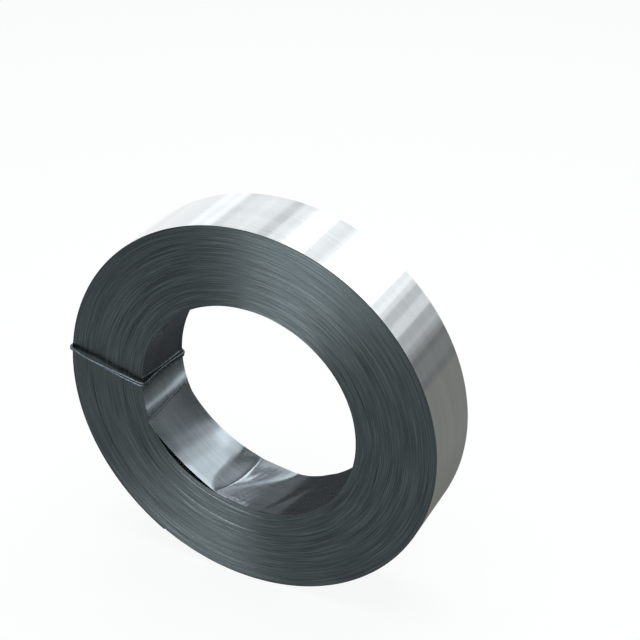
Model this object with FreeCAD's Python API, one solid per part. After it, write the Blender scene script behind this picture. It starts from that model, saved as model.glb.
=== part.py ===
"""Slit coil of galvanised steel strip, tied across its wall with a doubled wire.

Millimetres, +Z up. The coil stands on its rim with its axis along Y, so its ends face -Y and +Y.
The origin is on the floor, under the middle of the coil. Angles are in degrees, seen from the -Y
end: 0 points along +X and 90 points up.
"""
import FreeCAD, Part
import math
import os

V = FreeCAD.Vector

# The strip and how it is wound
STRIP_WIDTH = 100.0
STRIP_THICKNESS = 0.5
BORE_RADIUS = 150.0

# Groups of turns from the bore outwards: how many turns, and how many side steps the strip had
# wandered towards +Y while they were wound. The turns of a group lie level with each other.
SIDE_STEP = 0.1
TURN_GROUPS = [
    (14, 3),
    (26, -2),
    (19, 4),
    (33, -6),
    (27, 1),
    (35, 7),
    (24, -3),
    (20, 2),
    (12, -1),
]

# Inner end of the strip: kinked off the bore wall, it runs nearly flat back to the wall
INNER_KINK_ANGLE = 255.0
INNER_KINK_TURN = 15.0
INNER_KINK_RADIUS = 6.0
INNER_END_RADIUS = 300.0
INNER_TIP_GAP = 0.4

# Outer end of the strip: it springs off the coil in a flatter curve
OUTER_LIFT_ANGLE = 209.0
OUTER_END_ANGLE = 239.3
OUTER_END_RADIUS = 266.0

# Wire tie: two wires side by side round the wall of the coil. They lie close to it at the bore and
# the rim, and bow off its ends in between. Their round section is drawn with a few flats.
WIRE_DIAMETER = 3.0
WIRE_PITCH = 3.3
WIRE_SIDES = 12
TIE_BORE_ANGLE = 178.0
TIE_RIM_ANGLE = 172.5
TIE_CLEARANCE = 0.5
TIE_BEND_RADIUS = 4.0
TIE_BOW_SLOPE = 9.0

# The tie's ends, twisted together and laid flat on the outer turn
TWIST_DIAMETER = 5.2
TWIST_LENGTH = 44.0

half_width = STRIP_WIDTH / 2.0
turn_count = sum(count for count, steps in TURN_GROUPS)
outer_radius = BORE_RADIUS + STRIP_THICKNESS * turn_count
axis_height = outer_radius
AXIS = V(0, 0, axis_height)
ALONG_AXIS = V(0, 1, 0)


def direction(angle):
    """The unit vector at an angle about the coil's axis."""
    a = math.radians(angle)
    return V(math.cos(a), 0, math.sin(a))


def at_angle(radius, angle):
    """The point at a radius and angle about the coil's axis, half way across the strip."""
    return AXIS + direction(angle) * radius


def circles_meet(centre_a, radius_a, centre_b, radius_b, near):
    """Where two circles about points of the plane y = 0 cross, on the side of a given point."""
    line = centre_b - centre_a
    distance = line.Length
    line.normalize()
    along = (distance ** 2 + radius_a ** 2 - radius_b ** 2) / (2.0 * distance)
    aside = math.sqrt(radius_a ** 2 - along ** 2)
    sideways = line.cross(ALONG_AXIS)
    foot = centre_a + line * along
    both = [foot + sideways * aside, foot - sideways * aside]
    return min(both, key=lambda point: (point - near).Length)


def short_arc(centre, start, end):
    """The shorter arc about a centre, from start to end."""
    middle = (start + end) * 0.5 - centre
    middle.normalize()
    return Part.Arc(start, centre + middle * (start - centre).Length, end).toShape()


def wound_turns():
    """The wound turns as one turned body, from a stepped section revolved about the axis."""
    front = []
    back = []
    inner = BORE_RADIUS
    for count, steps in TURN_GROUPS:
        outer = inner + count * STRIP_THICKNESS
        wander = steps * SIDE_STEP
        for radius in (inner, outer):
            front.append(V(radius, wander - half_width, axis_height))
            back.append(V(radius, wander + half_width, axis_height))
        inner = outer
    section = Part.Face(Part.makePolygon(front + back[::-1] + front[:1]))
    return section.revolve(AXIS, ALONG_AXIS, 360)


def strip_along(edges, wander):
    """A length of strip, from the edges round its thickness and its place across the coil."""
    section = Part.Face(Part.Wire(edges))
    section.translate(V(0, wander - half_width, 0))
    return section.extrude(V(0, STRIP_WIDTH, 0))


def inner_end():
    """The strip's inner end: a tight kink inwards at the bore wall, then a nearly flat length."""
    bend_radius = INNER_KINK_RADIUS + STRIP_THICKNESS
    flat_radius = INNER_END_RADIUS + STRIP_THICKNESS
    sunk = BORE_RADIUS + STRIP_THICKNESS / 2.0
    kink_centre = at_angle(sunk - INNER_KINK_RADIUS, INNER_KINK_ANGLE)
    into_kink = direction(INNER_KINK_ANGLE)
    out_of_kink = direction(INNER_KINK_ANGLE - INNER_KINK_TURN)
    flat_centre = kink_centre - out_of_kink * (INNER_END_RADIUS - INNER_KINK_RADIUS)

    tip_guess = at_angle(BORE_RADIUS, INNER_KINK_ANGLE - 4.0 * INNER_KINK_TURN)
    tip_back = circles_meet(AXIS, BORE_RADIUS - INNER_TIP_GAP, flat_centre, flat_radius, tip_guess)
    to_tip = (tip_back - flat_centre).normalize()
    tip = flat_centre + to_tip * INNER_END_RADIUS

    kink = kink_centre + into_kink * INNER_KINK_RADIUS
    kink_back = kink_centre + into_kink * bend_radius
    flat = kink_centre + out_of_kink * INNER_KINK_RADIUS
    flat_back = kink_centre + out_of_kink * bend_radius
    edges = [
        short_arc(kink_centre, kink, flat),
        short_arc(flat_centre, flat, tip),
        Part.makeLine(tip, tip_back),
        short_arc(flat_centre, tip_back, flat_back),
        short_arc(kink_centre, flat_back, kink_back),
        Part.makeLine(kink_back, kink),
    ]
    first_count, first_steps = TURN_GROUPS[0]
    return strip_along(edges, first_steps * SIDE_STEP)


def outer_end():
    """The strip's outer end: it leaves the outer turn in a flatter curve and stands off there."""
    end_centre = at_angle(outer_radius - OUTER_END_RADIUS, OUTER_LIFT_ANGLE)
    under_radius = OUTER_END_RADIUS - STRIP_THICKNESS
    lift = at_angle(outer_radius, OUTER_LIFT_ANGLE)
    lift_under = at_angle(outer_radius - STRIP_THICKNESS, OUTER_LIFT_ANGLE)
    end = end_centre + direction(OUTER_END_ANGLE) * OUTER_END_RADIUS
    end_under = end_centre + direction(OUTER_END_ANGLE) * under_radius
    edges = [
        short_arc(end_centre, lift, end),
        Part.makeLine(end, end_under),
        short_arc(end_centre, end_under, lift_under),
        Part.makeLine(lift_under, lift),
    ]
    last_count, last_steps = TURN_GROUPS[-1]
    return strip_along(edges, last_steps * SIDE_STEP)


def strip_coil():
    """The whole strip: its wound turns with the two loose ends."""
    return wound_turns().fuse([inner_end(), outer_end()]).removeSplitter()


def tie_loop(in_bore, on_rim, sideways):
    """One closed loop of wire through the bore and over the rim, shifted along the rim."""
    reach = on_rim - in_bore
    length = reach.Length
    outwards = reach.normalize()
    beside = outwards.cross(ALONG_AXIS)
    slope = math.radians(TIE_BOW_SLOPE)
    bend = math.radians(90.0 - TIE_BOW_SLOPE)

    def place(out, y):
        return in_bore + outwards * out + ALONG_AXIS * y + beside * sideways

    def on_bend(angle):
        """How far out and how high the wire is, part of the way round the bend at the bore."""
        return TIE_BEND_RADIUS * (1.0 - math.cos(angle)), TIE_BEND_RADIUS * math.sin(angle)

    half_out, half_rise = on_bend(bend / 2.0)
    bow_out, bow_rise = on_bend(bend)
    bow_radius = (length / 2.0 - bow_out) / math.sin(slope)
    top_rise = bow_rise + bow_radius * (1.0 - math.cos(slope))

    def over_end(side):
        """The bend up from the bore, the bow over the end, and the bend down to the rim."""
        def rising(out, rise):
            return place(out, side * (half_width + rise))

        corners = [rising(0, 0), rising(bow_out, bow_rise), rising(length - bow_out, bow_rise),
                   rising(length, 0)]
        crests = [rising(half_out, half_rise), rising(length / 2.0, top_rise),
                  rising(length - half_out, half_rise)]
        return [Part.Arc(a, crest, b).toShape() for a, crest, b in zip(corners, crests, corners[1:])]

    bore_run = Part.makeLine(place(0, half_width), place(0, -half_width))
    rim_run = Part.makeLine(place(length, -half_width), place(length, half_width))
    path = Part.Wire([bore_run] + over_end(-1) + [rim_run] + over_end(1)[::-1])
    turns = [2.0 * math.pi * side / WIRE_SIDES for side in range(WIRE_SIDES)]
    spokes = [outwards * math.cos(turn) + beside * math.sin(turn) for turn in turns]
    corners = [place(0, half_width) + spoke * (WIRE_DIAMETER / 2.0) for spoke in spokes]
    section = Part.makePolygon(corners + corners[:1])
    return path.makePipeShell([section], True, False)


def twisted_ends():
    """The twisted ends of the tie, as one round bar that lies along the outer turn."""
    radius = outer_radius + TIE_CLEARANCE + TWIST_DIAMETER / 2.0
    start_angle = TIE_RIM_ANGLE + math.degrees(WIRE_PITCH / radius)
    start = at_angle(radius, start_angle)
    tangent = direction(start_angle + 90.0)
    section = Part.Face(Part.Wire(Part.makeCircle(TWIST_DIAMETER / 2.0, start, tangent)))
    return section.revolve(AXIS, ALONG_AXIS, math.degrees(TWIST_LENGTH / radius))


def tie_wire():
    """The doubled tie: two closed loops side by side, joined by their twisted ends."""
    off_wall = TIE_CLEARANCE + WIRE_DIAMETER / 2.0
    in_bore = at_angle(BORE_RADIUS - off_wall, TIE_BORE_ANGLE)
    on_rim = at_angle(outer_radius + off_wall, TIE_RIM_ANGLE)
    loops = [tie_loop(in_bore, on_rim, side * WIRE_PITCH / 2.0) for side in (-1, 1)]
    return twisted_ends().fuse(loops).removeSplitter()


def main():
    os.makedirs("parts", exist_ok=True)
    for name, make in (("strip_coil", strip_coil), ("tie_wire", tie_wire)):
        shape = make()
        shape.exportStep("parts/%s.step" % name)
        box = shape.BoundBox
        print("%s: %d solid, valid %s, volume %.0f mm3, X %.1f to %.1f, Y %.1f to %.1f, Z %.1f to %.1f" % (
            name, len(shape.Solids), shape.isValid(), shape.Volume,
            box.XMin, box.XMax, box.YMin, box.YMax, box.ZMin, box.ZMax))


main()
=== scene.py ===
# %% [markdown]
# # A slit coil of galvanised steel strip
#
# A slit coil is one long strip of zinc coated steel, here about 267 metres of it, wound on itself
# round an open bore. Two finishes meet on it. The broad faces of the strip are bright zinc and
# work as mirrors. The two ends of the coil show only the cut edges of the strip, which are bare
# steel, grey and finely ringed. A wire tie goes through the bore and keeps the turns together.
#
# This lesson builds the coil round a model that is already packed: that model gives the size and
# the place, and we give each surface its shape in detail and its finish.

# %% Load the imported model
import math

import bmesh
import bpy
import numpy as np
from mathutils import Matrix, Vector


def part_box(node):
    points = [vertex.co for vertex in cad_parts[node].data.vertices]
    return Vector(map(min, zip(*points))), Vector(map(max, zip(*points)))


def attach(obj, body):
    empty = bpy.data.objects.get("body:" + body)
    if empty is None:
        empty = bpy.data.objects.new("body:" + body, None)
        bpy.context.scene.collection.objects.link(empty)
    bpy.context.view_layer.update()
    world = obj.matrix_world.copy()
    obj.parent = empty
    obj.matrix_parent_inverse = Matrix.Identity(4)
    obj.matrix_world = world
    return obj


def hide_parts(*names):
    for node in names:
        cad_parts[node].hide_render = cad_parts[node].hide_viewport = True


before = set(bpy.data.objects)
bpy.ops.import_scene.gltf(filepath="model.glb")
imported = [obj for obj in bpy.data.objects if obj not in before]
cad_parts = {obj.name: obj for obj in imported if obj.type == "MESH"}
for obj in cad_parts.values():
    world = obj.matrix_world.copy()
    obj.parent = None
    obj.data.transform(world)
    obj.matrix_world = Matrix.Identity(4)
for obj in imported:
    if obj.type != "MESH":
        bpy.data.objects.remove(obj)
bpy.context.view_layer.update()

# %% [markdown]
# ## Sizes
#
# Everything is in metres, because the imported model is, and the small sizes are written as a
# number of millimetres. The coil's axis lies along Y, and the end that faces the camera faces -Y.
# Angles go round the axis: 0 points along +X and 90 points up.

# %% Sizes of the strip and the coil
MM = 0.001
STRIP_WIDTH = 100 * MM
STRIP_THICKNESS = 0.5 * MM
BORE_RADIUS = 150 * MM

coil_low, coil_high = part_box("strip_coil")
rim_radius = coil_high.x
axis_height = coil_low.z + rim_radius
half_width = STRIP_WIDTH / 2
print("rim radius %.4f m, axis %.4f m above the floor" % (rim_radius, axis_height))


def degrees_to_xz(angle, radius):
    """X and Z of points at angles in degrees and radii about the coil's axis."""
    turn = np.radians(angle)
    return radius * np.cos(turn), axis_height + radius * np.sin(turn)


# %% [markdown]
# ## The camera
#
# The photograph looks down on the coil from the front and the right. Four circles of the coil can
# be traced in it, the two rims and the two edges of the bore, and one camera fits all four. Its
# long lens gives a weak perspective, as in most pictures of products.

# %% Camera, and a helper for objects
CAMERA_PLACE = (745.4 * MM, -1366.6 * MM, 1243.2 * MM)
CAMERA_TILT = 60.55
CAMERA_PAN = 26.02
CAMERA_LENS = 81.78


def add_object(name, data):
    """A new object in the scene, for a camera, a mesh, a curve or a lamp."""
    added = bpy.data.objects.new(name, data)
    bpy.context.scene.collection.objects.link(added)
    return added


camera_data = bpy.data.cameras.new("camera")
camera_data.lens = CAMERA_LENS
camera_data.sensor_width = 36.0
camera = add_object("camera", camera_data)
camera.location = CAMERA_PLACE
camera.rotation_euler = (math.radians(CAMERA_TILT), 0.0, math.radians(CAMERA_PAN))
bpy.context.scene.camera = camera
bpy.context.scene.view_settings.view_transform = "Standard"
print("camera at", CAMERA_PLACE, "with a lens of", CAMERA_LENS, "mm")

# %% [markdown]
# ## Helpers for materials
#
# Colours are picked as sRGB hex values, as in a paint program, but the renderer adds up light, so
# one function turns them into linear values. A second one adds a node of any kind with its
# settings, its links and, for a ramp, its colours. That keeps each material short enough to read
# as a recipe.


# %% Colour and node helpers
def linear(hex_colour):
    """An sRGB hex colour, such as "#8a9294", as linear red, green, blue and alpha."""
    channels = [int(hex_colour[i:i + 2], 16) / 255 for i in (1, 3, 5)]
    return [c / 12.92 if c <= 0.04045 else ((c + 0.055) / 1.055) ** 2.4 for c in channels] + [1.0]


def add_node(tree, kind, inputs=None, stops=(), **settings):
    """Adds a node. Each input is a value, or an output of another node to link to it.

    The stops of a colour ramp are pairs of a place and a hex colour, from low to high."""
    node = tree.nodes.new(kind)
    for name, value in settings.items():
        setattr(node, name, value)
    for name, value in (inputs or {}).items():
        if isinstance(value, bpy.types.NodeSocket):
            tree.links.new(value, node.inputs[name])
        else:
            node.inputs[name].default_value = value
    for number, (place, colour) in enumerate(stops):
        elements = node.color_ramp.elements
        element = elements[number] if number < len(elements) else elements.new(place)
        element.position = place
        element.color = linear(colour)
    return node


def new_material(name):
    """An empty node material with its output, as (material, tree, output)."""
    material = bpy.data.materials.new(name)
    material.use_nodes = True
    tree = material.node_tree
    tree.nodes.clear()
    return material, tree, add_node(tree, "ShaderNodeOutputMaterial")


print("#808080 is", round(linear("#808080")[0], 3), "in linear light")

# %% [markdown]
# ## Marks that follow the strip
#
# Marks on rolled strip run along it, so on the coil they run round the axis. Noise that should
# look drawn out that way needs a coordinate that changes slowly round the axis, and fast across
# the strip or across the turns. The direction from the axis, the place along Y and the radius
# make such a coordinate, and unlike an angle it has no jump where the circle closes.


# %% Marks round the axis
def marks_round_axis(tree, arc_scale, y_scale=0.0, radius_scale=0.0, detail=2.0, roughness=0.5):
    """Noise about 0.5: slow round the axis, and scaled by itself along Y and the radius."""
    place = add_node(tree, "ShaderNodeTexCoord").outputs["Object"]
    centred = add_node(tree, "ShaderNodeVectorMath", {0: place, 1: (0, 0, axis_height)},
                       operation="SUBTRACT").outputs["Vector"]
    split = add_node(tree, "ShaderNodeSeparateXYZ", {0: centred}).outputs
    flat = add_node(tree, "ShaderNodeCombineXYZ", {0: split["X"], 2: split["Z"]}).outputs[0]
    radius = add_node(tree, "ShaderNodeVectorMath", {0: flat}, operation="LENGTH").outputs["Value"]
    unit = add_node(tree, "ShaderNodeVectorMath", {0: flat}, operation="NORMALIZE").outputs["Vector"]
    arc = add_node(tree, "ShaderNodeVectorMath", {0: unit, 3: arc_scale},
                   operation="SCALE").outputs["Vector"]
    along_y = add_node(tree, "ShaderNodeMath", {0: split["Y"], 1: y_scale},
                       operation="MULTIPLY").outputs[0]
    across = add_node(tree, "ShaderNodeMath", {0: radius, 1: radius_scale, 2: along_y},
                      operation="MULTIPLY_ADD").outputs[0]
    shift = add_node(tree, "ShaderNodeCombineXYZ", {1: across}).outputs[0]
    drawn_out = add_node(tree, "ShaderNodeVectorMath", {0: arc, 1: shift}, operation="ADD").outputs[0]
    inputs = {"Vector": drawn_out, "Scale": 1.0, "Detail": detail, "Roughness": roughness}
    return add_node(tree, "ShaderNodeTexNoise", inputs).outputs["Fac"]


# %% [markdown]
# ## Bright zinc
#
# The broad faces are hot dip galvanised and then skin passed: polished rolls press the zinc flat
# and smooth. What is left is a mirror with very fine lines along the strip. The lines spread a
# reflection across the strip and hardly along it, which is why lamps show on the coil as crisp
# bands from end to end. Zinc is a metal, so its colour is the colour of its reflection, nearly
# white with a trace of blue. The real lines are some 0.05 mm apart, far too fine to show here, so
# they are drawn about 1 mm apart, as coarse as they need to be. The face that lay on the winding
# drum was rubbed there, and is a little rougher than the other one.


# %% Zinc material
ZINC_LINE_SPACING = 1.0 * MM
ZINC_STREAK_SPACING = 9.0 * MM
ZINC_LINE_HEIGHT = 0.02 * MM
STREAK_SHARE = 0.55


def zinc(name, darkest, smoothest, roughest):
    """Bright zinc whose lines and streaks run along the strip."""
    material, tree, output = new_material(name)
    lines = marks_round_axis(tree, 2.0, y_scale=1 / ZINC_LINE_SPACING, detail=3.0)
    streaks = marks_round_axis(tree, 1.5, y_scale=1 / ZINC_STREAK_SPACING)
    tone = add_node(tree, "ShaderNodeMix",
                    {"Factor": STREAK_SHARE, "A": lines, "B": streaks}).outputs["Result"]
    colour = add_node(tree, "ShaderNodeValToRGB", {"Fac": tone},
                      stops=[(0.3, darkest), (0.7, "#e2e8ea")]).outputs["Color"]
    rough = add_node(tree, "ShaderNodeMapRange",
                     {"Value": tone, "From Min": 0.3, "From Max": 0.7,
                      "To Min": smoothest, "To Max": roughest}).outputs["Result"]
    bump = add_node(tree, "ShaderNodeBump",
                    {"Height": lines, "Strength": 0.12, "Distance": ZINC_LINE_HEIGHT})
    along = add_node(tree, "ShaderNodeTangent", direction_type="RADIAL", axis="Y")
    shader = add_node(tree, "ShaderNodeBsdfPrincipled", {
        "Base Color": colour, "Metallic": 1.0, "Roughness": rough,
        "Anisotropic": 0.7, "Anisotropic Rotation": 0.25,
        "Normal": bump.outputs["Normal"], "Tangent": along.outputs["Tangent"]})
    tree.links.new(shader.outputs["BSDF"], output.inputs["Surface"])
    return material


skin_passed_zinc = zinc("skin_passed_zinc", "#d3d9db", 0.07, 0.12)
rubbed_zinc = zinc("rubbed_zinc", "#cbd1d4", 0.12, 0.18)
print("materials:", skin_passed_zinc.name, rubbed_zinc.name)

# %% [markdown]
# ## Slit edges
#
# The strip was cut from a wide sheet by round knives. A sheared edge is bare steel: half of it is
# burnished by the knife, the other half is torn and dull, and no zinc covers it. Seen from the
# end, hundreds of these edges lie side by side like the grooves of a record. So the ends are dark
# grey with a trace of blue, and they shine in two opposite wedges where the grooves lie across
# the light. Each turn is a little lighter or darker than the next. Turns of 0.5 mm are too fine to
# show here, so the shades are drawn nearly twice as coarse. Near the tip of the loose inner end the
# edge has a painted highlight: the same edge in lighter colours, for the light that it catches.


# %% Slit edge material
TURN_SHADE_SPACING = 0.9 * MM
GROUP_SHADE_SPACING = 7.0 * MM
GROUP_SHARE = 0.07


def slit_edges(name, darkest, middle, lightest):
    """Bare cut edges, each turn in its own shade, and a little by groups of turns."""
    material, tree, output = new_material(name)
    turns = marks_round_axis(tree, 3.0, radius_scale=1 / TURN_SHADE_SPACING, detail=3.0, roughness=0.6)
    groups = marks_round_axis(tree, 1.2, radius_scale=1 / GROUP_SHADE_SPACING, detail=1.0)
    tone = add_node(tree, "ShaderNodeMix",
                    {"Factor": GROUP_SHARE, "A": turns, "B": groups}).outputs["Result"]
    colour = add_node(tree, "ShaderNodeValToRGB", {"Fac": tone},
                      stops=[(0.35, darkest), (0.5, middle), (0.65, lightest)]).outputs["Color"]
    along = add_node(tree, "ShaderNodeTangent", direction_type="RADIAL", axis="Y")
    shader = add_node(tree, "ShaderNodeBsdfPrincipled", {
        "Base Color": colour, "Metallic": 1.0, "Roughness": 0.42,
        "Anisotropic": 0.8, "Anisotropic Rotation": 0.25, "Tangent": along.outputs["Tangent"]})
    tree.links.new(shader.outputs["BSDF"], output.inputs["Surface"])
    return material


edges = slit_edges("slit_edges", "#2e3436", "#3d4446", "#4e5658")
# Lighter colours of the same edges: a painted highlight, for the light that the loose end's cut edge
# catches.
painted_highlight_edges = slit_edges("painted_highlight_edges", "#6a7174", "#757c7f", "#80878a")
print("materials:", edges.name, painted_highlight_edges.name)

# %% [markdown]
# ## Tie wire
#
# Soft annealed wire, drawn through a die and then heated so that it can be twisted by hand. It is
# darker than the zinc, with a thin skin of oxide and a soft shine along its upper side.


# %% Wire material
WIRE_MARK_SPACING = 4.0 * MM


def soft_wire():
    """Annealed wire with faint blotches of oxide."""
    material, tree, output = new_material("soft_wire")
    place = add_node(tree, "ShaderNodeTexCoord").outputs["Object"]
    marks = add_node(tree, "ShaderNodeTexNoise",
                     {"Vector": place, "Scale": 1 / WIRE_MARK_SPACING, "Detail": 3.0}).outputs["Fac"]
    colour = add_node(tree, "ShaderNodeValToRGB", {"Fac": marks},
                      stops=[(0.3, "#30373b"), (0.7, "#485055")]).outputs["Color"]
    shader = add_node(tree, "ShaderNodeBsdfPrincipled",
                      {"Base Color": colour, "Metallic": 1.0, "Roughness": 0.58})
    tree.links.new(shader.outputs["BSDF"], output.inputs["Surface"])
    return material


wire = soft_wire()
print("material:", wire.name)

# %% [markdown]
# ## The winding
#
# The strip is one spiral, so all its turns come from three small functions of how many turns the
# strip has made since its inner end: how far its inner face is from the axis, how far the strip
# has wandered sideways, and how its edge is cut. The wander makes groups of turns stand proud or
# lie back at the ends of the coil, like the sheets of a pile of paper that wasn't knocked level.
# How many turns there are follows from the strip's thickness.

# %% The spiral
KINK_ANGLE = 255.0
OUTER_END_ANGLE = 239.3
FLOOR_ANGLE = 270.0
WHOLE_TURNS = round((rim_radius - BORE_RADIUS) / STRIP_THICKNESS) - 1

turns_at_floor = WHOLE_TURNS + (FLOOR_ANGLE - KINK_ANGLE) / 360
turns_at_end = WHOLE_TURNS + (OUTER_END_ANGLE - KINK_ANGLE + 360) / 360
turn_pitch = (rim_radius - BORE_RADIUS) / (turns_at_floor + 1)
print("%.2f turns, %.4f mm apart" % (turns_at_end, turn_pitch / MM))


def face_radius(turns):
    """Radius of the strip's inner face, a number of turns out from the kink at its inner end."""
    return BORE_RADIUS + turn_pitch * turns


def turn_angle(turns):
    """Angle about the axis after that many turns."""
    return KINK_ANGLE + 360 * turns


# %% [markdown]
# The inner turns are not quite round. They have slackened beside the kink, most of all at the
# front, and sag into the bore there by up to 10 mm. The sag fades out over the inner half of the
# turns, which lie a little less tight there, as they do on a real coil.

# %% The sag of the inner turns
SAG = 9.5 * MM
SAG_ANGLE = 256.0
SAG_SPREAD = 36.0
SAG_AT_BACK = 0.15
SAG_TURNS = 110.0


def sag(angle, turns, depth_share):
    """How far the wall has moved towards the axis, from the front (share 0) to the back (1)."""
    off_middle = (angle - SAG_ANGLE + 180) % 360 - 180
    fade = np.clip(1 - turns / SAG_TURNS, 0, 1) ** 2
    front_to_back = 1 + (SAG_AT_BACK - 1) * depth_share
    return SAG * np.exp(-(off_middle / SAG_SPREAD) ** 2) * fade * front_to_back


deepest = [sag(SAG_ANGLE, 0, share) / MM for share in (0, 1)]
print("the first turn sags by %.1f mm in front and %.1f mm at the back" % tuple(deepest))

# %% [markdown]
# The wander has two parts. Groups of turns shift together when the machine stops and starts, and
# within a group each turn lies a few hundredths of a millimetre off its neighbour. A group is
# written as how many turns it has and how many small steps it lies to one side. Random numbers
# with a fixed seed give the same coil each time, and the values between them are interpolated
# along the strip, so that a step runs round the coil instead of forming a perfect ring. Their
# spacings, such as 0.37, are in turns.

# %% Wander and cut of the strip's edge
WANDER_GROUPS = [(14, 3), (26, -2), (19, 4), (33, -6), (27, 1), (35, 7), (24, -3), (20, 2), (12, -1)]
WANDER_STEP = 0.06 * MM
GROUP_CHANGE_TURNS = 2.5
random_turns = np.random.RandomState(11)


def strip_noise(turns, spacing):
    """Smooth random values from -1 to 1 along the strip, with a new one after each spacing."""
    count = int((WHOLE_TURNS + 3) / spacing) + 2
    knots = random_turns.uniform(-1, 1, count)
    place = np.clip(turns, 0, None) / spacing
    index = place.astype(int)
    share = place - index
    share = share * share * (3 - 2 * share)
    return knots[index] * (1 - share) + knots[index + 1] * share


# %% Tables along the whole strip
TABLE_STEPS_PER_TURN = 60
TURN_WANDER = 0.04 * MM
TURN_WANDER_SPACINGS = (0.37, 2.3)
EDGE_SLOPES = ((0.045 * MM, 0.53), (0.035 * MM, 3.1))
EDGE_DEPTH = 0.06 * MM
table_turns = np.arange(0, WHOLE_TURNS + 2, 1 / TABLE_STEPS_PER_TURN)


def group_wander(turns):
    """Sideways place of the strip by its group of turns, easing from one group to the next."""
    wander = np.full(len(turns), WANDER_GROUPS[0][1] * WANDER_STEP)
    start = 0
    for (count, steps), (_, next_steps) in zip(WANDER_GROUPS, WANDER_GROUPS[1:]):
        start += count
        ease = np.clip((turns - start) / GROUP_CHANGE_TURNS + 0.5, 0, 1)
        wander += (next_steps - steps) * WANDER_STEP * ease
    return wander


wander_table = group_wander(table_turns)
for spacing in TURN_WANDER_SPACINGS:
    wander_table += TURN_WANDER * strip_noise(table_turns, spacing)
slope_table = sum(slope * strip_noise(table_turns, spacing) for slope, spacing in EDGE_SLOPES)
print("wander from %.2f to %.2f mm" % (wander_table.min() / MM, wander_table.max() / MM))


def wander(turns):
    """How far the strip has wandered along Y."""
    return np.interp(turns, table_turns, wander_table)


def edge_depths(turns):
    """How far the inner and the outer corner of the strip's edge lie back from its full width."""
    slope = np.interp(turns, table_turns, slope_table)
    return EDGE_DEPTH + np.clip(slope, 0, None), EDGE_DEPTH - np.clip(slope, None, 0)


# %% [markdown]
# ## The wound turns
#
# Between the first turn, which lines the bore, and the last two, which carry the loose outer end,
# lie 207 turns of which only the edges show. Modelling them as one strip 260 m long would waste
# most of its faces inside the coil. Instead each end gets the real spiral of edges, one narrow
# ledge for each turn and a riser to the next, and plain walls close it to the middle of the coil.
# The two halves are solid bodies, each under 200,000 triangles.

# %% Sizes of the wound turns, and a helper for meshes
STEPS_PER_TURN = 220
FIRST_WOUND_TURN = 1
LAST_WOUND_TURN = WHOLE_TURNS - 1
LEDGE_SHARE = 0.86


def make_mesh(name, corners, faces, materials):
    """A mesh object from corners and faces, its normals turned outwards."""
    mesh = bpy.data.meshes.new(name)
    mesh.from_pydata([tuple(c) for c in corners], [], faces)
    for material in materials:
        mesh.materials.append(material)
    work = bmesh.new()
    work.from_mesh(mesh)
    bmesh.ops.recalc_face_normals(work, faces=work.faces)
    work.to_mesh(mesh)
    work.free()
    return add_object(name, mesh)


# %% One half of the wound turns
def wound_half(name, side):
    """The wound turns from one end of the coil (side -1 faces the camera) to its middle."""
    steps = STEPS_PER_TURN
    count = (LAST_WOUND_TURN - FIRST_WOUND_TURN) * steps + 1
    turns = FIRST_WOUND_TURN + np.arange(count) / steps
    angle = turn_angle(turns)
    inner_depth, outer_depth = edge_depths(turns)
    inwards = face_radius(turns) - sag(angle, turns, (side + 1) / 2)
    corners = []
    for radius, depth in ((inwards, inner_depth), (inwards + LEDGE_SHARE * turn_pitch, outer_depth)):
        x, z = degrees_to_xz(angle, radius)
        corners.append(np.column_stack([x, wander(turns) + side * (half_width - depth), z]))
    ledges = np.stack(corners, axis=1).reshape(-1, 3)

    middle_x, middle_z = degrees_to_xz(angle, face_radius(turns) - sag(angle, turns, 0.5))
    wall_in = np.column_stack([middle_x, 0 * turns, middle_z])[:steps + 1]
    wall_out = corners[1][-steps - 1:] * (1, 0, 1)
    points = np.vstack([ledges, wall_in, wall_out])

    def inner(g):
        return 2 * g

    def outer(g):
        return 2 * g + 1

    def middle_in(i):
        return 2 * count + i

    def middle_out(i):
        return 2 * count + steps + 1 + i

    top = count - 1 - steps
    faces = [(inner(g), outer(g), outer(g + 1), inner(g + 1)) for g in range(count - 1)]
    faces += [(outer(g), inner(g + steps), inner(g + steps + 1), outer(g + 1)) for g in range(top)]
    faces += [(inner(i), inner(i + 1), middle_in(i + 1), middle_in(i)) for i in range(steps)]
    faces += [(outer(top + i), middle_out(i), middle_out(i + 1), outer(top + i + 1))
              for i in range(steps)]
    faces += [(middle_in(i), middle_in(i + 1), middle_out(i + 1), middle_out(i))
              for i in range(1, steps - 1)]
    faces += [
        (middle_in(0), middle_in(steps), middle_out(0), middle_out(1), middle_in(1)),
        (middle_in(steps - 1), middle_in(steps), middle_out(0), middle_out(steps),
         middle_out(steps - 1)),
        (middle_in(0), inner(0), outer(0), inner(steps), middle_in(steps)),
        (middle_out(0), outer(top), inner(top + steps), outer(top + steps), middle_out(steps)),
    ]
    return make_mesh(name, points, faces, [edges])


front_half = wound_half("wound_turns_front", -1)
back_half = wound_half("wound_turns_back", 1)
print("faces in each half:", len(front_half.data.polygons))

# %% [markdown]
# ## A strip with thickness
#
# The first turn and the last two are real strip: a bright face on both sides and a dark edge all
# round. Only on the loose end is the edge lighter: beside the kink it was rubbed bright, and
# towards the tip it has a painted highlight, the slit edge in lighter colours. Both are built by
# one function. It takes the face that is nearer to the axis, as a grid of points along and across
# the strip, and the direction away from the axis at each point. A sliver of air stays between one
# turn and the next.


# %% Strip from a grid
METAL_SHARE_OF_PITCH = 0.97
SHARP_ANGLE = 40.0
# The third kind of edge is the slit edge in lighter colours, a painted highlight.
SAME_AS_FACE, SLIT, PAINTED_HIGHLIGHT = range(3)


def outwards(angle):
    """Unit vectors away from the axis at angles in radians."""
    return np.stack([np.cos(angle), 0 * angle, np.sin(angle)], axis=-1)


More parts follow.
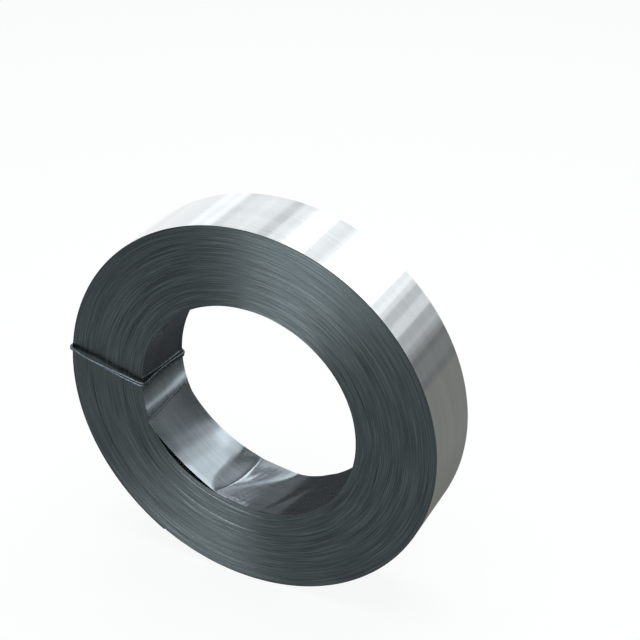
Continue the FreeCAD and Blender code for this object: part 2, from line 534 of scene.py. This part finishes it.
def strip_body(name, face, away, finish, edge_finishes):
    """A closed strip from a grid of points (along, across, xyz) on one face.

    Each row of the grid says whether its edge is like the face, slit, or slit with a painted
    highlight. The strip's first end is slit and its last one is like the face."""
    along, across, _ = face.shape
    points = np.concatenate([face, face + away * turn_pitch * METAL_SHARE_OF_PITCH]).reshape(-1, 3)

    def near(i, j):
        return i * across + j

    def far(i, j):
        return along * across + i * across + j

    broad = [(at(i, j), at(i + 1, j), at(i + 1, j + 1), at(i, j + 1))
             for at in (near, far) for i in range(along - 1) for j in range(across - 1)]
    rim = [(near(i, j), near(i + 1, j), far(i + 1, j), far(i, j))
           for j in (0, across - 1) for i in range(along - 1)]
    rim += [(near(i, j), near(i, j + 1), far(i, j + 1), far(i, j))
            for i in (0, along - 1) for j in range(across - 1)]
    finishes = [SAME_AS_FACE] * len(broad) + edge_finishes[:along - 1] * 2
    finishes += [SLIT] * (across - 1) + [SAME_AS_FACE] * (across - 1)
    smooth = [True] * len(broad) + [False] * len(rim)
    piece = make_mesh(name, points, broad + rim, [finish, edges, painted_highlight_edges])
    piece.data.polygons.foreach_set("material_index", finishes)
    piece.data.polygons.foreach_set("use_smooth", smooth)
    piece.data.set_sharp_from_angle(angle=math.radians(SHARP_ANGLE))
    return piece


# %% [markdown]
# ## The outer turns and the loose outer end
#
# The last turns show the coil's whole outside. A wound strip is never a true cylinder: it lies on
# the turns below in very slight flats, which make the bands of light wave a little. They are
# written as how many go round the coil, their height in millimetres and how much they lean. The
# outer end was cut square, and it springs off the coil by about a millimetre over its last 30
# degrees.

# %% Outer turns
OUTER_LIFT_ANGLE = 209.0
OUTER_LIFT = 1.05 * MM
OUTER_STEPS_PER_TURN = 480
OUTER_ACROSS = 13
FLATS = ((23, 0.020, 0.6), (41, 0.010, -1.0), (67, 0.005, 0.8))


def outer_turns():
    """The last two turns, one strip from the wound turns to the outer end."""
    turns = np.arange(LAST_WOUND_TURN, turns_at_end, 1 / OUTER_STEPS_PER_TURN)
    turns = np.append(turns, turns_at_end)[:, None]
    angle = turn_angle(turns)
    lift_share = np.clip((angle - angle[-1]) / (OUTER_END_ANGLE - OUTER_LIFT_ANGLE) + 1, 0, 1)
    across = np.linspace(-half_width, half_width, OUTER_ACROSS)[None, :]
    flats = sum(height * MM * np.sin(np.radians(angle) * count + across / half_width * lean)
                for count, height, lean in FLATS)
    x, z = degrees_to_xz(angle, face_radius(turns) + flats + OUTER_LIFT * lift_share ** 2)
    face = np.stack([x, across + wander(turns), z], axis=2)
    away = outwards(np.radians(angle) + 0 * x)
    return strip_body("outer_turns", face, away, skin_passed_zinc, [SLIT] * len(turns))


outer = outer_turns()
print("outer turns:", len(outer.data.polygons), "faces")

# %% [markdown]
# ## The first turn and the loose inner end
#
# The inner end of the strip was gripped in a slot of the winding drum. Pulled out of it, the
# strip keeps a kink, and the end beyond the kink stands off the wall and reaches back to it in a
# flatter curve. A bent sheet is best described by how sharply it turns along its length. Here
# that is: the curve of the wall, three creases that fan out from one point on the front edge with
# flat facets between them, and a gentler curve in the loose end. Adding up the turning gives the
# direction, and adding up the direction gives the shape. This is done once for each line along
# the strip. Each crease is written as an angle at the front edge and how that changes with depth,
# as degrees that it turns the strip at the front and at the back, and as widths in millimetres.

# %% Creases
LOOSE_START_ANGLE = 286.0
LOOSE_LENGTHS = (216 * MM, 222.5 * MM)
TIP_RADIUS = BORE_RADIUS - 1.6 * MM
TIP_POKES_OUT = 5.0 * MM
CREASE_PLACES = ((247.0, 0.26, 0.0006), (251.0, 0.073, 0.0), (243.0, 0.0, 0.0004))
LAST_CREASE_HOOK = 5.5
LAST_CREASE_HOOK_REACH = 12 * MM
CREASE_TURNS = ((2.0, 18.5), (4.5, 10.5), (6.5, 6.2))
CREASE_WIDTHS = ((2.7, 13.5), (0.5, 3.2), (4.0, 2.6))
CREASE_SHARPNESS = 1.7
TAIL_CURVE_AT_CREASE = (0.5, 0.85)


def crease_angles(depth):
    """Where the creases cross a line at that depth from the front edge, in degrees."""
    d = depth / MM
    angles = [start + slope * d + curve * d ** 2 for start, slope, curve in CREASE_PLACES]
    angles[-1] = angles[-1] + LAST_CREASE_HOOK * np.exp(-depth / LAST_CREASE_HOOK_REACH)
    return angles


print("creases in front at", [round(float(a), 1) for a in crease_angles(0.0)], "degrees")

# %% The shape of the loose end
LOOSE_STEPS = 200
ACROSS_STEPS = 36
EVEN_SHARE = 0.45
CROWDING = 2.2


def across_places():
    """Places across the strip, closer together near the front edge, where the dents are."""
    share = np.linspace(0, 1, ACROSS_STEPS)
    return STRIP_WIDTH * (EVEN_SHARE * share + (1 - EVEN_SHARE) * share ** CROWDING)


def wall_heading(angle, depth):
    """Direction of the wall at an angle, going towards smaller angles, in radians."""
    share = depth / STRIP_WIDTH
    radius = BORE_RADIUS - sag(angle, 0.0, share)
    slope = (sag(angle - 0.5, 0.0, share) - sag(angle + 0.5, 0.0, share)) / math.radians(1)
    a = np.radians(angle)
    return np.arctan2(-slope * np.sin(a) - radius * np.cos(a), -slope * np.cos(a) + radius * np.sin(a))


def loose_lines(tail_curve, depth):
    """Lines along the loose end for given curvatures of its last part: points and headings."""
    length = LOOSE_LENGTHS[0] + (LOOSE_LENGTHS[1] - LOOSE_LENGTHS[0]) * depth / STRIP_WIDTH
    step = length / LOOSE_STEPS
    along = (np.arange(LOOSE_STEPS) + 0.5)[:, None] * step[None, :]
    arc_radius = BORE_RADIUS - sag(SAG_ANGLE, 0.0, depth / STRIP_WIDTH)
    creases = [np.radians(LOOSE_START_ANGLE - a) * arc_radius for a in crease_angles(depth)]
    on_wall = np.minimum(along, creases[0])
    heading = wall_heading(LOOSE_START_ANGLE - np.degrees(on_wall / arc_radius), depth)
    beyond = np.maximum(along - creases[2], 0)
    tail_length = length - creases[2]
    early = np.interp(depth, (0, STRIP_WIDTH), TAIL_CURVE_AT_CREASE)
    heading = heading - tail_curve * (early * beyond + (1 - early) * beyond ** 2 / tail_length)
    for place, turns, widths in zip(creases, CREASE_TURNS, CREASE_WIDTHS):
        turned = np.radians(np.interp(depth, (0, STRIP_WIDTH), turns))
        spread = np.interp(depth, (0, STRIP_WIDTH), widths) * MM
        heading = heading - turned / (1 + np.exp(-(along - place) / spread * CREASE_SHARPNESS))
    start_radius = BORE_RADIUS - sag(LOOSE_START_ANGLE, 0.0, depth / STRIP_WIDTH)
    x, z = degrees_to_xz(LOOSE_START_ANGLE, start_radius)
    path_x = x + np.cumsum(np.cos(heading) * step, axis=0)
    path_z = z + np.cumsum(np.sin(heading) * step, axis=0)
    return path_x, path_z, heading, beyond / tail_length


# %% [markdown]
# The end has to come back to the wall and not into it or short of it. Nothing tells how curved
# the last part must be for that, so the curvature is found by halving: too straight and the tip
# lands beyond the wall, too curved and it stops inside the bore.


# %% Find the curvature that brings the tip back to the wall
HALVINGS = 40
LEAST_CURVE = -0.5 / BORE_RADIUS
MOST_CURVE = 1.5 / BORE_RADIUS


def settled_tail(depth):
    """How curved the last part of each line is, so that its tip lies at the wall."""
    low = np.full(len(depth), LEAST_CURVE)
    high = np.full(len(depth), MOST_CURVE)
    for _ in range(HALVINGS):
        middle = (low + high) / 2
        x, z, _, _ = loose_lines(middle, depth)
        outside = np.hypot(x[-1], z[-1] - axis_height) > TIP_RADIUS
        low = np.where(outside, middle, low)
        high = np.where(outside, high, middle)
    return middle


# %% [markdown]
# The wall itself is not smooth either. It has shallow waves, one low buckle that slants across it
# under the loose end, and a fine ripple round the place where the creases meet. Two crossing
# waves make the ripple, each written as radians for a millimetre along the wall and in depth.
# Beside the kink the front edge was knocked against something: a few small dents show there as
# rough, bright spots. Each is written as an angle, and its depth from the edge, height and size in
# millimetres. The loose end has also slid a few millimetres out of the coil's front, as its cut
# edge shows.

# %% Unevenness of the bore's wall
WALL_WAVES = ((17, 0.05, 0.0), (37, 0.02, 1.0))
WALL_WAVE_LEAN = 0.09
BUCKLE_ANGLE = 279.0
BUCKLE_LEAN = 0.47
BUCKLE_HEIGHT = 0.7
BUCKLE_WIDTH = 8.0
CREASE_RIPPLE = 0.035
CREASE_RIPPLE_ANGLE = 264.0
CREASE_RIPPLE_REACH = 19.0
CREASE_RIPPLE_WAVES = ((0.62, 0.2), (-0.13, 0.45))
DENTS = [(259.5, 9, 0.1, 3.0), (262.0, 5, -0.09, 2.2), (265.5, 8, 0.09, 2.6), (269.0, 4, -0.07, 2.0)]


def wall_unevenness(angle, depth):
    """How far the wall stands towards the axis, by angle and depth from the front edge."""
    d = depth / MM

    def arc_from(place):
        return np.radians(angle - place) * BORE_RADIUS / MM

    leaning = np.radians(angle - WALL_WAVE_LEAN * d)
    rise = sum(height * np.sin(leaning * count + phase) for count, height, phase in WALL_WAVES)
    arc = arc_from(CREASE_RIPPLE_ANGLE)
    ripple = np.prod([np.sin(along * arc + down * d) for along, down in CREASE_RIPPLE_WAVES], axis=0)
    rise = rise + CREASE_RIPPLE * ripple * np.exp(-(arc / CREASE_RIPPLE_REACH) ** 2)
    buckle = arc_from(BUCKLE_ANGLE) - BUCKLE_LEAN * d
    rise = rise + BUCKLE_HEIGHT * np.exp(-(buckle / BUCKLE_WIDTH) ** 2)
    for dent_angle, dent_depth, height, size in DENTS:
        rise = rise + height * np.exp(-(arc_from(dent_angle) ** 2 + (d - dent_depth) ** 2) / size ** 2)
    return rise * MM


print("the largest dent is %.2f mm" % max(abs(height) for _, _, height, _ in DENTS))

# %% First turn
WALL_STEPS = 400


def first_turn():
    """The first turn, from the wound turns round the bore to the tip of its loose end."""
    depth = across_places()
    share = depth[None, :] / STRIP_WIDTH
    curves = settled_tail(depth)
    tail_x, tail_z, heading, slid = loose_lines(curves, depth)
    tips = np.degrees(np.arctan2(tail_z[-1] - axis_height, tail_x[-1])) % 360
    print("tip of the loose end at %.1f degrees in front, %.1f at the back" % (tips[0], tips[-1]))
    print("its mean curve has a radius of %.0f mm" % (1 / curves.mean() / MM))

    wall_angle = np.linspace(turn_angle(FIRST_WOUND_TURN), LOOSE_START_ANGLE, WALL_STEPS)[:, None]
    wall_turns = (wall_angle - LOOSE_START_ANGLE) / (turn_angle(FIRST_WOUND_TURN) - LOOSE_START_ANGLE)
    wall_radius = BORE_RADIUS + turn_pitch * wall_turns - sag(wall_angle, wall_turns, share)
    wall_x, wall_z = degrees_to_xz(wall_angle, wall_radius)
    x = np.vstack([wall_x, tail_x])
    z = np.vstack([wall_z, tail_z])
    away = outwards(np.vstack([np.radians(wall_angle) + 0 * wall_x, heading + math.pi / 2]))
    turns = np.concatenate([wall_turns[:, 0], np.zeros(LOOSE_STEPS)])
    y = depth[None, :] - half_width + wander(turns)[:, None]
    y[WALL_STEPS:] -= TIP_POKES_OUT * slid
    face = np.stack([x, y, z], axis=2)
    angle = np.degrees(np.arctan2(z - axis_height, x)) % 360
    face -= away * wall_unevenness(angle, depth[None, :])[:, :, None]
    third = LOOSE_STEPS // 3
    # The last third of the loose end has lighter edge colours, a painted highlight.
    edge_finishes = [SLIT] * (WALL_STEPS + third) + [SAME_AS_FACE] * third
    edge_finishes += [PAINTED_HIGHLIGHT] * (LOOSE_STEPS - 2 * third)
    return strip_body("first_turn", face, away, rubbed_zinc, edge_finishes)


inner = first_turn()
print("first turn:", len(inner.data.polygons), "faces")

# %% [markdown]
# ## The tie
#
# One wire goes twice round the wall of the coil, through the bore and over the rim, and its two
# ends are twisted together on the outside. The two passes cross over once on the way, so each
# ends where the other started. The wire's line is worked out in a flat frame: out along the end
# of the coil from the bore to the rim, and across the coil along Y.

# %% Frame of the tie
WIRE_DIAMETER = 3.0 * MM
WIRE_CLEARANCE = 0.5 * MM
TIE_BORE_ANGLE = 178.0
TIE_RIM_ANGLE = 172.5

wire_radius = WIRE_DIAMETER / 2
off_wall = WIRE_CLEARANCE + wire_radius


def axis_point(angle, radius, y=0.0):
    """A point by angle and radius about the axis."""
    x, z = degrees_to_xz(angle, radius)
    return Vector((x, y, z))


tie_start = axis_point(TIE_BORE_ANGLE, BORE_RADIUS - off_wall)
tie_end = axis_point(TIE_RIM_ANGLE, rim_radius + off_wall)
tie_out = (tie_end - tie_start).normalized()
tie_along_y = Vector((0, 1, 0))
tie_side = tie_out.cross(tie_along_y)
tie_length = (tie_end - tie_start).length
print("the tie spans %.1f mm of wall" % (tie_length / MM))


# %% [markdown]
# The loop is a rounded rectangle whose two long sides bow away from the coil. A closed list of
# points with a bend at each corner would do, but a smooth curve through a few well placed points
# looks more like wire that was pulled tight by hand. The two passes lie side by side where they
# show, roll round each other a little near the rim, and cross over behind the coil. A short table
# says so: share of the way round, degrees of roll, and spacing in wire diameters.


# %% The loop that both passes follow
STEPS_PER_SPAN = 24


def tie_loop():
    """Points (out, y) once round the wall: from the rim's middle over the front end and back."""
    def over_end(side):
        bow = [(1.0, 0.0), (0.995, 2.4), (0.95, 3.9), (0.8, 5.6), (0.6, 6.4), (0.35, 5.8), (0.12, 4.6),
               (0.02, 3.2), (-0.012, 0.6)]
        return [(tie_length * share, side * (half_width + rise * MM)) for share, rise in bow]

    rim_run = [(tie_length, half_width * share) for share in (0.0, -0.35, -0.7)]
    off_bore = [(-0.02, -0.92), (-0.008, -0.6), (0.0, -0.2), (0.0, 0.2), (-0.008, 0.6), (-0.02, 0.92)]
    bore_run = [(tie_length * out, half_width * share) for out, share in off_bore]
    back_run = [(tie_length, half_width * share) for share in (0.7, 0.35)]
    return rim_run + over_end(-1) + bore_run + over_end(1)[::-1] + back_run


def eased(t, start, start_way, end, end_way):
    """The point a share t of the way along a smooth path that has given directions at its ends."""
    return (start * (2 * t ** 3 - 3 * t ** 2 + 1) + start_way * (t ** 3 - 2 * t ** 2 + t)
            + end * (-2 * t ** 3 + 3 * t ** 2) + end_way * (t ** 3 - t ** 2))


def smooth_loop(points, steps):
    """A closed smooth curve through points, evenly sampled, as (points, share of its length)."""
    points = np.array(points)
    count = len(points)
    fine = []
    for i in range(count):
        a, b, c, d = (points[(i + k) % count] for k in (-1, 0, 1, 2))
        t = np.linspace(0, 1, STEPS_PER_SPAN, endpoint=False)[:, None]
        chord = np.linalg.norm(c - b)
        into = (c - a) / np.linalg.norm(c - a) * chord
        out_of = (d - b) / np.linalg.norm(d - b) * chord
        fine.append(eased(t, b, into, c, out_of))
    fine = np.vstack(fine + [fine[0][:1]])
    run = np.concatenate([[0], np.cumsum(np.linalg.norm(np.diff(fine, axis=0), axis=1))])
    even = np.linspace(0, run[-1], steps + 1)
    return np.column_stack([np.interp(even, run, fine[:, k]) for k in (0, 1)]), even / run[-1]


# %% The wire's line in space
LOOP_STEPS = 260
LEAVE_STEPS = 9
BRIDGE_STEPS = 8
TWIST_TURNS = 4.5
TWIST_START = 8 * MM
TWIST_LENGTH = 44 * MM
TWIST_LIFT = 0.2 * MM
TWIST_STEPS_PER_TURN = 16
TIE_SLANT = 8 * MM
TIE_STRANDS = [(0.0, 0, 1.08), (0.125, 8, 1.08), (0.16, 60, 1.08), (0.2, 60, 1.08), (0.31, 0, 1.3),
               (0.6, 0, 1.35), (0.65, 0, 1.08), (0.82, 180, 1.08), (1.0, 180, 1.08)]


def pass_points(sign):
    """One pass round the wall: beside the loop's line, turning half round it behind the coil."""
    line, share = smooth_loop(tie_loop(), LOOP_STEPS)
    ahead = np.roll(line[:-1], -1, axis=0) - np.roll(line[:-1], 1, axis=0)
    ahead = np.vstack([ahead, ahead[:1]])
    ahead /= np.linalg.norm(ahead, axis=1)[:, None]
    places, rolls, spacings = zip(*TIE_STRANDS)
    turned = np.radians(np.interp(share, places, rolls))
    apart = wire_radius * np.interp(share, places, spacings)
    points = []
    for (out, y), (dir_out, dir_y), roll, offset in zip(line, ahead, turned, apart):
        beside = tie_side * math.cos(roll)
        lifted = (tie_out * dir_y - tie_along_y * dir_out) * math.sin(roll)
        slant = TIE_SLANT * (1 - out / tie_length) * min(max(y / half_width + 1, 0), 2) / 2
        centre = tie_start + tie_out * out + tie_along_y * y + tie_side * slant
        points.append(centre + (beside + lifted) * sign * offset)
    return points


def bridge(start, start_way, end, end_way):
    """A smooth link between two points that leaves and arrives in given directions."""
    reach = (end - start).length
    return [eased(i / BRIDGE_STEPS, start, start_way * reach, end, end_way * reach)
            for i in range(1, BRIDGE_STEPS)]


def twist_points(phase):
    """One of the two twisted ends, from its root on the rim to its tip, laid along the rim."""
    steps = int(TWIST_TURNS * TWIST_STEPS_PER_TURN)
    points = []
    for i in range(steps + 1):
        share = i / steps
        reach = TWIST_START + TWIST_LENGTH * share
        radius = rim_radius + WIRE_CLEARANCE + WIRE_DIAMETER + TWIST_LIFT
        angle = TIE_RIM_ANGLE + math.degrees(reach / radius)
        spin = phase + 2 * math.pi * TWIST_TURNS * share
        lift = math.sin(spin) * wire_radius
        points.append(axis_point(angle, radius + lift, math.cos(spin) * wire_radius))
    return points


# %% One wire, twice round, with its twisted ends
def tie_wire():
    """The whole tie, as one curve with the wire's thickness."""
    first = pass_points(1)
    second = pass_points(-1)
    front_end = twist_points(math.pi)
    back_end = twist_points(0.0)
    leaving = first[LEAVE_STEPS]
    arriving = second[-1 - LEAVE_STEPS]
    root = (front_end[0] - front_end[1]).normalized()
    points = front_end[::-1]
    points += bridge(front_end[0], root, leaving, (first[LEAVE_STEPS + 1] - leaving).normalized())
    points += first[LEAVE_STEPS:-1] + second[:-LEAVE_STEPS]
    points += bridge(arriving, (arriving - second[-2 - LEAVE_STEPS]).normalized(), back_end[0],
                     (back_end[1] - back_end[0]).normalized())
    points += back_end
    curve = bpy.data.curves.new("tie", "CURVE")
    curve.dimensions = "3D"
    curve.bevel_depth = wire_radius
    curve.bevel_resolution = 4
    curve.use_fill_caps = True
    spline = curve.splines.new("POLY")
    spline.points.add(len(points) - 1)
    for place, point in zip(spline.points, points):
        place.co = (*point, 1.0)
    curve.materials.append(wire)
    length = sum((b - a).length for a, b in zip(points, points[1:]))
    print("tie wire of %.2f m" % length)
    return add_object("tie", curve)


tie = tie_wire()

# %% [markdown]
# ## The studio
#
# The floor and the world are white where the camera or a reflection meets them, and the lamps are
# soft and plain, so that a colour looks about as it was picked. The floor keeps a soft shadow.

# %% World and floor
FLOOR_SIZE = 40.0
FLOOR_GAP = 0.1 * MM


def seen_directly(tree):
    """1 for a ray from the camera, or one that a reflection or glass sends out, else 0."""
    path = add_node(tree, "ShaderNodeLightPath").outputs
    either = add_node(tree, "ShaderNodeMath", {0: path["Is Camera Ray"], 1: path["Is Glossy Ray"]},
                      operation="MAXIMUM").outputs[0]
    return add_node(tree, "ShaderNodeMath", {0: either, 1: path["Is Transmission Ray"]},
                    operation="MAXIMUM").outputs[0]


def white_world():
    """White where it is seen or mirrored, and a weaker, cooler fill light elsewhere."""
    world = bpy.data.worlds.new("studio")
    world.use_nodes = True
    tree = world.node_tree
    tree.nodes.clear()
    fill = add_node(tree, "ShaderNodeBackground", {"Color": linear("#f2f6fa"), "Strength": 0.45})
    white = add_node(tree, "ShaderNodeBackground", {"Color": linear("#ffffff"), "Strength": 1.0})
    mix = add_node(tree, "ShaderNodeMixShader",
                   {0: seen_directly(tree), 1: fill.outputs[0], 2: white.outputs[0]})
    add_node(tree, "ShaderNodeOutputWorld", {"Surface": mix.outputs[0]})
    bpy.context.scene.world = world


def pale_floor():
    """A floor that is nearly white where it is seen or mirrored, and keeps a soft shadow."""
    material, tree, output = new_material("pale_floor")
    matt = add_node(tree, "ShaderNodeBsdfDiffuse", {"Color": linear("#eeeeee")})
    glow = add_node(tree, "ShaderNodeEmission", {"Color": linear("#ffffff"), "Strength": 1.12})
    share = add_node(tree, "ShaderNodeMath", {0: seen_directly(tree), 1: 0.75},
                     operation="MULTIPLY").outputs[0]
    mix = add_node(tree, "ShaderNodeMixShader", {0: share, 1: matt.outputs[0], 2: glow.outputs[0]})
    tree.links.new(mix.outputs[0], output.inputs["Surface"])
    half = FLOOR_SIZE / 2
    corners = [(x * half, y * half, -FLOOR_GAP) for x, y in ((-1, -1), (1, -1), (1, 1), (-1, 1))]
    floor = make_mesh("floor", corners, [(0, 1, 2, 3)], [material])


white_world()
pale_floor()
print("white world and a floor of %g m" % FLOOR_SIZE)


# %% [markdown]
# The overhead lamp lights whatever is matt. The two others light the tie and the cut edges of the
# strip. These are too rough to mirror a board, and show a large lamp as a soft glow in two opposite
# wedges. One lamp stands in front and lights the front half of the turns, the other stands behind
# and lights the back half, so that both ends look alike, each from its own side. Neither lights
# the bright zinc, which would mirror a lamp as a plain white patch.

# %% Lamps
LAMP_SIZE = (2.6, 3.2)
LAMP_WATTS = 355.0


def soft_lamp(name, place, size, watts, lights, pieces=()):
    """A lamp aimed at the coil, for "diffuse" or "glossy" surfaces, of all pieces or of some."""
    data = bpy.data.lights.new(name, "AREA")
    data.shape = "RECTANGLE"
    data.size, data.size_y = size
    data.energy = watts
    lamp = add_object(name, data)
    lamp.location = place
    aim = Vector((0.0, 0.0, axis_height)) - Vector(place)
    lamp.rotation_euler = aim.to_track_quat("-Z", "Y").to_euler()
    lamp.visible_camera = False
    lamp.visible_diffuse = lights == "diffuse"
    lamp.visible_glossy = lights == "glossy"
    if pieces:
        lit = bpy.data.collections.new(name + "_lights")
        for piece in pieces:
            lit.objects.link(piece)
        lamp.light_linking.receiver_collection = lit


soft_lamp("overhead_lamp", (0.0, 0.2, 3.0), (3.0, 3.0), 40.0, "diffuse")
soft_lamp("front_lamp", (0.0, -2.4, 2.1), LAMP_SIZE, LAMP_WATTS, "glossy", [front_half, tie])
soft_lamp("back_lamp", (0.0, 2.4, 2.1), LAMP_SIZE, LAMP_WATTS, "glossy", [back_half, tie])
print("front and back lamps of %g W" % LAMP_WATTS)

# %% [markdown]
# ## What the metal reflects
#
# A mirror has no look of its own: it shows what stands round it. A photographer therefore builds
# the surroundings first, with white boards for the bright bands and grey or black ones for the
# dark. The boards here glow evenly, and only reflections can see them. They form long arches
# round the axis of the coil, because a board that runs along the axis shows on a cylinder as a
# band from end to end. Each board is an angle to start at and how bright it is, up to the next. A
# board with two or three values fades from one to the next along Y, by the rows of its arch.

# %% Boards that only reflections see
BACK_OF_BOARD = 0.9


def reflector(name, corners, faces, glows, tint="#ffffff"):
    """Boards that glow by a value at each corner on their front, and evenly on their back."""
    material, tree, output = new_material(name)
    glow = add_node(tree, "ShaderNodeAttribute", attribute_name="glow").outputs["Fac"]
    behind = add_node(tree, "ShaderNodeNewGeometry").outputs["Backfacing"]
    strength = add_node(tree, "ShaderNodeMix", {"Factor": behind, "A": glow, "B": BACK_OF_BOARD})
    shine = add_node(tree, "ShaderNodeEmission",
                     {"Color": linear(tint), "Strength": strength.outputs["Result"]})
    tree.links.new(shine.outputs[0], output.inputs["Surface"])
    material.cycles.emission_sampling = "NONE"
    mesh = bpy.data.meshes.new(name)
    mesh.from_pydata(corners, [], faces)
    mesh.materials.append(material)
    mesh.attributes.new("glow", "FLOAT", "POINT").data.foreach_set("value", glows)
    boards = add_object(name, mesh)
    for kind in ("camera", "diffuse", "transmission", "volume_scatter", "shadow"):
        setattr(boards, "visible_" + kind, False)


# %% Arch of boards
ARCH_STEP = 4.0


def board_arch(name, radius, rows, boards, end_angle, tint="#ffffff"):
    """An arch of boards about the axis. Rows are places along Y, and which glow a board has there."""
    corners = []
    faces = []
    glows = []
    ends = [board[0] for board in boards[1:]] + [end_angle]
    for (start, *board_glows), end in zip(boards, ends):
        pieces = max(1, round((end - start) / ARCH_STEP))
        for k in range(pieces):
            for (y, glow), (next_y, next_glow) in zip(rows, rows[1:]):
                first = len(corners)
                for share in (k, k + 1):
                    x, z = degrees_to_xz(start + (end - start) * share / pieces, radius)
                    corners += [(x, y, z), (x, next_y, z)]
                    glows += list(np.interp((glow, next_glow), range(len(board_glows)), board_glows))
                faces.append((first, first + 2, first + 3, first + 1))
    reflector(name, corners, faces, glows, tint)


# %% [markdown]
# The wide arch stands behind the coil and shows on its outside: dark at the right, then brighter
# boards with a few narrow grey ones overhead. The same boards, turned round and a little dimmer,
# stand in front and further out, for whoever looks at the coil from behind. Grey boards lie on
# the floor on the right, where the lowest part of the outside shows them.

# %% Boards for the outside
OUTSIDE_ARCH_RADIUS = 1.6
OUTSIDE_ROWS = [(0.3, 0), (6.0, 0)]
FRONT_ARCH_RADIUS = 3.2
FRONT_ROWS = [(-12.0, 0), (-0.6, 0)]
FRONT_ARCH_DIMMING = 0.72
OUTSIDE_BOARDS = [
    (-9, 0.19), (-4, 0.235), (5, 0.19), (8.5, 0.3), (11.5, 0.43), (14.5, 0.57), (17.5, 0.5),
    (23.5, 0.87), (30, 0.66), (36, 0.95), (39, 1.22), (42, 1.12), (45.5, 1.6), (79, 1.22), (82, 1.08),
    (86, 1.14), (91.5, 1.6), (104, 1.17), (107, 1.08), (110, 1.15), (113, 0.8), (119.5, 1.08),
    (128, 1.15), (131.5, 1.06), (140.5, 0.93), (147, 1.3), (153, 1.15), (156, 1.27), (162, 1.05),
]
OUTSIDE_END_ANGLE = 187


def turned_round(boards, end_angle, dimming):
    """The same boards seen from the other end of the coil, as (boards, end angle)."""
    ends = [start for start, _ in boards[1:]] + [end_angle]
    turned = [(180 - end, glow * dimming) for (_, glow), end in zip(boards, ends)]
    return turned[::-1], 180 - boards[0][0]


front_boards, front_end_angle = turned_round(OUTSIDE_BOARDS, OUTSIDE_END_ANGLE, FRONT_ARCH_DIMMING)
board_arch("outside_boards", OUTSIDE_ARCH_RADIUS, OUTSIDE_ROWS, OUTSIDE_BOARDS, OUTSIDE_END_ANGLE)
board_arch("outside_boards_in_front", FRONT_ARCH_RADIUS, FRONT_ROWS, front_boards, front_end_angle)
print(len(OUTSIDE_BOARDS), "boards behind the coil and as many in front")

# %% Boards on the floor
FLOOR_GLOWS = [(0.0, 0.17), (0.2, 0.185), (0.4, 0.24), (1.65, 0.25)]
FLOOR_BOARD_FRONT = 0.06
FLOOR_BOARD_BACK = 5.0
FLOOR_BOARD_LEVEL = 1 * MM

floor_corners = []
floor_faces = []
floor_glows = []
for (near_x, near_glow), (far_x, far_glow) in zip(FLOOR_GLOWS, FLOOR_GLOWS[1:]):
    first = len(floor_corners)
    for x, y in ((near_x, FLOOR_BOARD_FRONT), (far_x, FLOOR_BOARD_FRONT),
                 (far_x, FLOOR_BOARD_BACK), (near_x, FLOOR_BOARD_BACK)):
        floor_corners.append((x, y, FLOOR_BOARD_LEVEL))
    floor_faces.append((first, first + 1, first + 2, first + 3))
    floor_glows += [near_glow, far_glow, far_glow, near_glow]
reflector("floor_boards", floor_corners, floor_faces, floor_glows, "#fbfbf2")
print(len(floor_faces), "boards on the floor")

# %% [markdown]
# The narrow arch stands behind the bore and shows on its wall and on the loose end. There the
# metal curves the other way and turns the picture over, so the boards are narrower.

# %% Boards for the bore
BORE_ARCH_RADIUS = 0.24
BORE_ROWS = [(0.1, 0), (0.35, 0), (0.41, 1), (0.44, 1), (0.5, 2), (1.1, 2)]
BORE_BOARDS = [
    (-90, 0.035), (-70, 0.085), (-60, 0.15), (-55, 0.13, 0.2), (-50, 0.13, 0.5), (-46.5, 0.35, 1.1),
    (-43.5, 0.75, 0.8), (-40.5, 0.15, 0.1), (-38, 0.09), (-34, 0.06), (-5, 0.1), (12, 0.18, 0.098),
    (20, 0.175, 0.12), (32, 0.19, 0.165), (38, 0.29, 0.235), (41, 0.42), (44, 0.66, 0.54, 0.62),
    (48, 0.84, 0.7, 1.0), (52, 0.9, 0.8, 1.2), (60, 0.48, 0.5, 1.0), (65, 0.36, 0.36, 0.9),
    (69, 0.32, 0.32, 0.9), (72, 0.26, 0.26, 0.75), (75, 0.16, 0.16, 0.6), (78, 0.12, 0.12, 0.3),
    (80.5, 0.12), (87, 2.0, 0.4, 0.12), (92.5, 0.16), (99, 0.22, 0.5), (104, 0.62, 0.5),
    (112, 0.95, 0.32), (118, 0.95, 0.16), (127, 0.12, 0.15), (150, 0.13, 0.17), (172, 0.08, 0.12),
    (179, 0.06, 0.07), (190, 0.055), (240, 0.045),
]
BORE_END_ANGLE = 270
board_arch("bore_boards", BORE_ARCH_RADIUS, BORE_ROWS, BORE_BOARDS, BORE_END_ANGLE, "#eaf3fa")
print(len(BORE_BOARDS), "boards behind the bore")

# %% [markdown]
# ## Finish
#
# Each piece rides on the one body of the coil, and the imported solids that the pieces replace
# are hidden.

# %% Ride, replace and finish
for piece in (front_half, back_half, outer, inner):
    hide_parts("strip_coil")
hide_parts("tie_wire")
for piece in (front_half, back_half, outer, inner, tie):
    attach(piece, "root")
